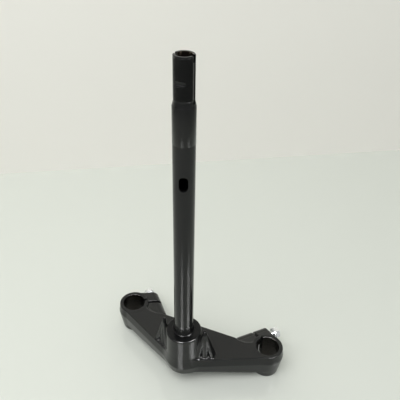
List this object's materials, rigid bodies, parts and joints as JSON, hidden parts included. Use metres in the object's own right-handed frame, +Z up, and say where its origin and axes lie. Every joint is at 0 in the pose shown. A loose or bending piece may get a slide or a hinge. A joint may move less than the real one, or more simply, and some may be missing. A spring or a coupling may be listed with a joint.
{
  "type": "motorcycle lower triple clamp",
  "caption": "Forged yoke with split fork clamps, pinch bolts, steering stops and a long hollow stem with a threaded, slotted top.",
  "frame": {"origin": "centre of the stem's lower end, on the steering axis, level with the feet of both clamps", "axes": "+Z up along the steering axis, +Y toward the front of the vehicle, +X toward the clamp on the right when seen from the rear"},
  "size_m": [0.2888, 0.1483, 0.514],
  "materials": {
    "yoke": "satin black paint",
    "stem": "satin black paint",
    "race": "gloss black",
    "bolts": "bright zinc plating",
    "washers": "dull zinc plating"
  },
  "bodies": {
    "root": {"yoke": "yoke", "steering_stem": "stem", "crown_race": "race", "pinch_bolt_left": "bolts", "pinch_bolt_right": "bolts", "spring_washer_left": "washers", "spring_washer_right": "washers"}
  },
  "joints": []
}
